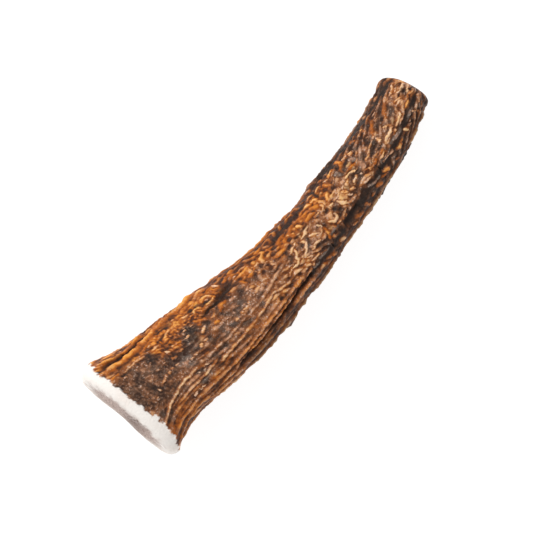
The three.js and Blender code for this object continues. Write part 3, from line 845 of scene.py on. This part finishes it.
def lay_long_ridges(bark):
    for (hue, paleness), tall, half_width, *route in RIDGES:
        gap, fade, _ = beside(route)
        bump = bell(gap / half_width) * fade
        room = smooth(*LONG_VALLEY, gap / half_width) * fade
        rise = tall * bump * (1 + 0.25 * RIPPLE + 0.08 * SPECKLE)
        bark.height = np.maximum(bark.height * (1 - 0.7 * room), rise)
        worn = bump * np.clip(0.85 + 0.2 * (RIPPLE + BLOTCH), 0.35, 1)
        bark.crest = np.maximum(bark.crest * (1 - 0.6 * room), worn)
        flank = np.clip(1.4 * bump, 0, 1)
        bark.warm = mix(bark.warm, hue, flank)
        bark.pale = mix(bark.pale, paleness * (0.9 + 0.25 * SPECKLE), flank)


def raise_knobs(bark):
    for station, angle, half_width, tall in KNOBS:
        gap = np.hypot(ALONG - station, np.radians(short_way(ANGLE - angle)) * ARC_RATE)
        bark.height = bark.height + tall * bell(gap / half_width)


def cut_grooves(bark):
    """Long grooves, with flatter floors and steeper sides than a ridge has."""
    for depth, *route in GROOVES:
        gap, fade, half_width = beside(route)
        dip = np.exp(-((gap / half_width) ** 3)) * fade
        bark.height = bark.height * (1 - 0.75 * dip) - depth * dip
        bark.crest = bark.crest * (1 - 0.85 * dip)
        bark.dark = np.maximum(bark.dark, 0.85 * dip)


def make_bark():
    """The bark with its marks. A later mark cuts through the earlier ones."""
    bark = plain_bark()
    lay_short_ridges(bark, SHORT_RIDGES)
    sink_pits(bark)
    lay_long_ridges(bark)
    raise_knobs(bark)
    cut_grooves(bark)
    lay_short_ridges(bark, GROOVE_LUMPS)
    fine = 0.12 * DRIFT + (0.06 + 0.03 * NETTED) * SPECKLE
    bark.height = bark.height + fine - GROUND_LEVEL + 0.15 * OUTSIDE_EDGE
    bark.crest = bark.crest + 0.1 * SPECKLE
    bark.warm = np.clip(bark.warm + 0.11 * sample(cloud(17, 3)) * (1 - 0.75 * BEADED), -0.5, 1)
    bark.pale = np.clip(bark.pale, 0, 1)
    bark.dark = np.clip(bark.dark, 0, 1)
    return bark


# ---- The ground ends.

# The sawn base is ground in as far as this ragged edge: angles and stations.
BARK_EDGE = [
    (-180, 5.5), (-110, 6.8), (-69, 5.9), (-42, 3.8), (-25, 4.6), (-15, 5.3), (-8, 4.4), (0, 4.8),
    (11, 5.6), (23, 6.2), (43, 5.8), (59, 4.7), (71, 4.0), (110, 5.0), (180, 5.5),
]
BARK_ROOT = (1.5, 3.5)  # stations over which the bark's relief starts, under the ground edge
GRIND_SLOPE = 1.5  # of the grinding, up from that edge
WORN_CORNER = 1.8  # how much lower the base's rim is ground at the inside of the bend
TIP_GROUND = (LENGTH - 3.4, LENGTH - 0.8)  # stations over which the tip's relief is ground down
TIP_HOLLOWS = 0.6  # how much of its hollows is left
BASE_CORE = (17.3, 11.6)  # half the porous core's width and height in the sawn base
BASE_CORE_MIDDLE = (0.4, 0.8)  # the core's middle, outwards and upwards of the face's middle
TIP_CORE = (4.2, 4.0)
CORE_SQUARENESS = 2.5
CORE_SPREADS = 1.6  # station on the base's rounded edge that the core's colour fades out at
CORE_SHADE = 4.5  # the core is darkest along this line, outwards of the middle
BASE_HOLLOW = 0.9  # how deep the base's lower edge is worn in, at its middle
HOLLOW_MIDDLE = (-1.5, -12)
HOLLOW_SIZE = (9, 7)


def grind_ends(height):
    """The relief with both ends ground through the bark, and how much bare bone shows."""
    notch = sample(cloud(21, 1.5)) * 0.45 + sample(cloud(22, 4)) * 0.3
    edge = np.interp(ANGLE, *zip(*BARK_EDGE)) + notch
    bark = height * smooth(*BARK_ROOT, ALONG)
    ground = np.maximum(0, ALONG - edge) * GRIND_SLOPE - GROUND_OFF
    ground = ground - WORN_CORNER * patch(ALONG, ANGLE, (0, -92), (3, 16))
    bone = smooth(-0.3, 0.25, bark - ground + 0.5 * np.maximum(0, edge - ALONG))
    relief = np.minimum(bark, ground)
    hollows = TIP_HOLLOWS * np.minimum(relief + GROUND_OFF, 0)
    relief = mix(relief, hollows - GROUND_OFF, smooth(*TIP_GROUND, ALONG))
    tip_face = smooth(0.97, 0.85, SPAN) * smooth(LENGTH / 2, LENGTH, ALONG)
    return relief, np.maximum(bone, tip_face)


def raised(relief):
    """The bare form raised by the relief, square to itself: outwards and upwards of the beam's middle."""
    across, above = outline(np.sin(TURN)) * HALF_HEIGHT, outline(np.cos(TURN)) * HALF_WIDTH
    slope = np.hypot(across, above)
    rise = relief - INSET
    return SPAN * (BARE_OUT + across / slope * rise), SPAN * (BARE_UP + above / slope * rise)


def porous_core(out, up):
    """How much of the end faces is porous core, and how much of that is holes."""
    face = smooth(CORE_SPREADS, 0, ALONG) + (SPAN < 1) * ~AT_BASE
    size = [np.where(AT_BASE, base, tip) for base, tip in zip(BASE_CORE, TIP_CORE)]
    middle = [np.where(AT_BASE, base, 0) for base in BASE_CORE_MIDDLE]
    across, above = np.abs((out - middle[0]) / size[0]), np.abs((up - middle[1]) / size[1])
    reach = (across**CORE_SQUARENESS + above**CORE_SQUARENESS) ** (1 / CORE_SQUARENESS)
    core = smooth(1.24, 0.8, reach + 0.06 * look_up(cloud(31, 3), out, up)) * face
    pits = ridge_pattern(32, spacing=1.9, stretch=1.0, bias=-0.5)
    holes = smooth(-0.2, 1.0, look_up(pits, out + 50, up + 50))
    return core, holes * core * mix(0.35, 1, bell((out - CORE_SHADE) / 6))


def make_antler():
    """The whole antler: its bark, its ground ends and their porous core, sunk a little into both faces."""
    bark = make_bark()
    relief, bone = grind_ends(bark.height)
    out, up = raised(relief)
    core, holes = porous_core(out, up)
    dark = mix(bark.dark, 0.5 * bell((out - CORE_SHADE) / 5), core)
    hollow = bell((out - HOLLOW_MIDDLE[0]) / HOLLOW_SIZE[0]) * bell((up - HOLLOW_MIDDLE[1]) / HOLLOW_SIZE[1])
    sunk = 0.35 * holes + 0.15 * core + BASE_HOLLOW * hollow * smooth(BASE_EDGE, 0, ALONG)
    lean = TIP_LEAN * smooth(LEAN_START, LENGTH, ALONG)
    x = BASE_X + ALONG + lean * out + np.where(AT_BASE, sunk, -sunk)
    z = np.maximum(0, HALF_HEIGHT + UNDERSIDE_GAP + up)
    places = np.stack([x, SIDE - out, z], axis=-1) * MM
    layers = {"crest": bark.crest, "warm": bark.warm, "pale": bark.pale, "dark": dark}
    return mesh_of(places, {**layers, "bone": bone, "core": core, "holes": holes})


def mesh_of(places, layers):
    """One closed mesh through the grid: the first and last rings are single points."""
    rings = len(places)

    def flat(grid):
        return np.concatenate([grid[:1, 0], grid[1:-1].reshape(-1, *grid.shape[2:]), grid[-1:, 0]])

    first = 1 + AROUND * np.arange(rings - 2)[:, None]
    here, there = np.arange(AROUND), (np.arange(AROUND) + 1) % AROUND
    near, far = first[:-1], first[1:]
    quads = np.stack([near + here, near + there, far + there, far + here], axis=-1).reshape(-1, 4)
    last = 1 + AROUND * (rings - 2)
    base = [(0, 1 + b, 1 + a) for a, b in zip(here, there)]
    tip = [(last, last - AROUND + a, last - AROUND + b) for a, b in zip(here, there)]
    mesh = bpy.data.meshes.new("antler_bark")
    mesh.from_pydata(flat(places).tolist(), [], quads.tolist() + base + tip)
    mesh.shade_smooth()
    for name, grid in layers.items():
        layer = mesh.attributes.new(name, "FLOAT", "POINT")
        layer.data.foreach_set("value", flat(grid).astype(np.float32))
    return mesh


# ---- The material.


def srgb(red, green, blue):
    """A colour given by its values on a screen, as a shader takes it."""
    levels = np.array([red, green, blue]) / 255
    return (*np.where(levels > 0.04045, ((levels + 0.055) / 1.055) ** 2.4, levels / 12.92), 1.0)


class Sketch:
    """Short calls for a material's nodes."""

    def __init__(self, name):
        self.material = bpy.data.materials.new(name)
        self.material.use_nodes = True
        self.tree = self.material.node_tree
        self.shader = self.tree.nodes["Principled BSDF"]

    def add(self, kind, inputs=(), **settings):
        node = self.tree.nodes.new(kind)
        for name, value in settings.items():
            setattr(node, name, value)
        for name, value in dict(inputs).items():
            self.set(node.inputs[name], value)
        return node

    def set(self, socket, value):
        if isinstance(value, bpy.types.NodeSocket):
            self.tree.links.new(value, socket)
        else:
            socket.default_value = value

    def surface(self, name, value):
        """Sets one of the inputs of the finished surface."""
        self.set(self.shader.inputs[name], value)

    def layer(self, name):
        return self.add("ShaderNodeAttribute", attribute_name=name).outputs["Fac"]

    def noise(self, scale, detail=3.0):
        place = self.add("ShaderNodeTexCoord").outputs["Object"]
        node = self.add("ShaderNodeTexNoise", {"Vector": place, "Scale": scale, "Detail": detail})
        return node.outputs["Fac"]

    def math(self, operation, a, b):
        return self.add("ShaderNodeMath", {0: a, 1: b}, operation=operation).outputs[0]

    def ramp(self, value, low, high, to_low=0.0, to_high=1.0):
        ends = {"Value": value, "From Min": low, "From Max": high, "To Min": to_low, "To Max": to_high}
        return self.add("ShaderNodeMapRange", ends, interpolation_type="SMOOTHSTEP").outputs["Result"]

    def blend(self, weight, a, b):
        node = self.add("ShaderNodeMix", {0: weight, 6: a, 7: b}, data_type="RGBA")
        return node.outputs[2]


VALLEY_GREY, VALLEY_WARM = srgb(59, 34, 20), srgb(85, 39, 10)
FLANK_SLATE, FLANK_GREY, FLANK_WARM = srgb(112, 96, 86), srgb(114, 79, 56), srgb(186, 98, 20)
CREST_PINK, CREST_ORANGE = srgb(198, 141, 108), srgb(245, 157, 50)
CREST_PALE, CREST_CREAM = srgb(248, 204, 168), srgb(255, 208, 138)
# The darkest brown is laid wherever the bark is marked dark; on the lower flank it is painted shade.
# The pale speck colour is partly the bark's own and partly painted highlight.
DARK_BROWN_AND_SHADE, PALE_SPECK_AND_HIGHLIGHT = srgb(36, 26, 20), srgb(250, 226, 210)
BONE_LIGHT, BONE_SHADE = srgb(255, 248, 241), srgb(251, 240, 231)
CORE_LIGHT, CORE_DARK, CORE_HOLES = srgb(224, 201, 190), srgb(148, 119, 107), srgb(98, 72, 62)
# How fine each noise is, in features to the metre.
MOTTLE, GRAIN, SPECKS_AND_HIGHLIGHTS, CLOUDS, SPONGE, ROUGHNESS = 620, 1700, 1500, 120, 1400, 1300


def worn_crest(sketch):
    """How near a crest the bark is, with a fine mottle and grain."""
    mottle = sketch.math("SUBTRACT", sketch.noise(MOTTLE, 4.0), 0.5)
    grain = sketch.math("SUBTRACT", sketch.noise(GRAIN), 0.5)
    crest = sketch.math("ADD", sketch.layer("crest"), sketch.math("MULTIPLY", mottle, 0.5))
    return sketch.math("ADD", crest, sketch.math("MULTIPLY", grain, 0.12))


def bark_colour(sketch, crest):
    """Valleys, flanks and crests, each from a grey or pink tone to a warm one, with pale specks that are
    partly the bark's own and partly painted highlights.
    """
    warm, pale = sketch.layer("warm"), sketch.layer("pale")
    valley = sketch.blend(warm, VALLEY_GREY, VALLEY_WARM)
    flank = sketch.blend(sketch.math("ADD", warm, 0.1), FLANK_GREY, FLANK_WARM)
    flank = sketch.blend(sketch.ramp(warm, 0.0, -0.5), flank, FLANK_SLATE)
    worn = sketch.blend(warm, CREST_PINK, CREST_ORANGE)
    cream = sketch.blend(warm, CREST_PALE, CREST_CREAM)
    top = sketch.blend(sketch.ramp(pale, 0.2, 1.0), worn, cream)
    bark = sketch.blend(sketch.ramp(crest, -0.05, 0.5), valley, flank)
    bark = sketch.blend(sketch.ramp(crest, 0.4, 0.95), bark, top)
    # Pale specks, most on the crests and fewest on warm streaks: partly the bark's own, partly painted
    # highlights in place of glossy glints.
    specks = sketch.ramp(sketch.noise(SPECKS_AND_HIGHLIGHTS, 2.0), 0.55, 0.71)
    speck_and_highlight = sketch.math("MULTIPLY", specks, sketch.ramp(crest, 0.1, 0.9, 0.08, 0.7))
    speck_and_highlight = sketch.math("MULTIPLY", speck_and_highlight, sketch.ramp(warm, 0.3, 1.0, 1.0, 0.25))
    return sketch.blend(speck_and_highlight, bark, PALE_SPECK_AND_HIGHLIGHT)


def core_colour(sketch, dark):
    spongy = sketch.blend(sketch.ramp(sketch.noise(SPONGE), 0.35, 0.65), CORE_LIGHT, CORE_DARK)
    spongy = sketch.blend(sketch.layer("holes"), spongy, CORE_HOLES)
    return sketch.blend(dark, spongy, CORE_HOLES)


def antler_material():
    sketch = Sketch("antler")
    crest, dark = worn_crest(sketch), sketch.layer("dark")
    # The dark layer darkens the bark, and on the lower flank it is painted shade.
    bark = sketch.blend(dark, bark_colour(sketch, crest), DARK_BROWN_AND_SHADE)
    bone = sketch.blend(sketch.ramp(sketch.noise(CLOUDS), 0.4, 0.7), BONE_LIGHT, BONE_SHADE)
    colour = sketch.blend(sketch.layer("bone"), bark, bone)
    colour = sketch.blend(sketch.layer("core"), colour, core_colour(sketch, dark))
    relief = {"Height": sketch.noise(ROUGHNESS, 5.0), "Strength": 0.9, "Distance": 0.4 * MM}
    bump = sketch.add("ShaderNodeBump", relief)
    sketch.surface("Base Color", colour)
    sketch.surface("Roughness", sketch.ramp(crest, 0.1, 0.9, 0.55, 0.4))
    sketch.surface("Specular IOR Level", 0.24)
    sketch.surface("Normal", bump.outputs["Normal"])
    return sketch.material


def floor_material():
    """A matt floor that glows to a plain white, on which a faint shadow still shows."""
    sketch = Sketch("floor")
    sketch.surface("Base Color", FLOOR_GREY)
    sketch.surface("Roughness", 0.9)
    sketch.surface("Specular IOR Level", 0.0)
    sketch.surface("Emission Color", WHITE_LIGHT)
    sketch.surface("Emission Strength", FLOOR_GLOW)
    return sketch.material


# ---- The studio.

VIEW_TURN = math.radians(49.54)  # of the chord, in the picture
AIM = Vector((-5.8, -3.4, 13)) * MM
VIEW_WIDTH = 0.2111  # metres across the picture
VIEW_DISTANCE = 4.0
WHITE_LIGHT = (1, 1, 1, 1)
FLOOR_GREY = (0.3, 0.3, 0.3, 1)
FLOOR_GLOW = 0.87
FLOOR_HALF = 5  # metres
SKY_LIGHT = 0.56
KEY_PLACE, KEY_SIZE, KEY_POWER = Vector((-0.2, 1.4, 1.65)), 1.0, 26


def put(name, data):
    thing = bpy.data.objects.new(name, data)
    bpy.context.scene.collection.objects.link(thing)
    return thing


def make_camera():
    """A camera far above, leaning towards the sawn base and turned to the chord's slope in the picture."""
    along = Vector((math.cos(VIEW_TILT), 0, math.sin(VIEW_TILT)))
    across = Vector((0, 1, 0))
    right = math.cos(VIEW_TURN) * along - math.sin(VIEW_TURN) * across
    up = math.sin(VIEW_TURN) * along + math.cos(VIEW_TURN) * across
    back = right.cross(up)
    data = bpy.data.cameras.new("camera")
    data.lens = data.sensor_width * VIEW_DISTANCE / VIEW_WIDTH
    data.clip_end = 20
    camera = put("camera", data)
    axes = Matrix((right, up, back)).transposed().to_4x4()
    camera.matrix_world = Matrix.Translation(AIM + VIEW_DISTANCE * back) @ axes
    bpy.context.scene.camera = camera


def make_key_light():
    """One large soft light, which faces the middle of the frame."""
    data = bpy.data.lights.new("key", "AREA")
    data.size, data.energy = KEY_SIZE, KEY_POWER
    facing = KEY_PLACE.to_track_quat("Z", "Y").to_matrix().to_4x4()
    put("key", data).matrix_world = Matrix.Translation(KEY_PLACE) @ facing


def make_floor():
    floor = bpy.data.meshes.new("floor")
    corners = [(x * FLOOR_HALF, y * FLOOR_HALF, 0) for x, y in ((-1, -1), (1, -1), (1, 1), (-1, 1))]
    floor.from_pydata(corners, [], [(0, 1, 2, 3)])
    floor.materials.append(floor_material())
    put("floor", floor)


def make_studio():
    make_floor()
    world = bpy.data.worlds.new("studio")
    world.use_nodes = True
    world.node_tree.nodes["Background"].inputs["Color"].default_value = WHITE_LIGHT
    world.node_tree.nodes["Background"].inputs["Strength"].default_value = SKY_LIGHT
    bpy.context.scene.world = world
    make_key_light()
    bpy.context.scene.view_settings.view_transform = "Standard"


antler = put("antler_piece", make_antler())
antler.data.materials.append(antler_material())
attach(antler, "root")
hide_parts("antler")
make_studio()
make_camera()
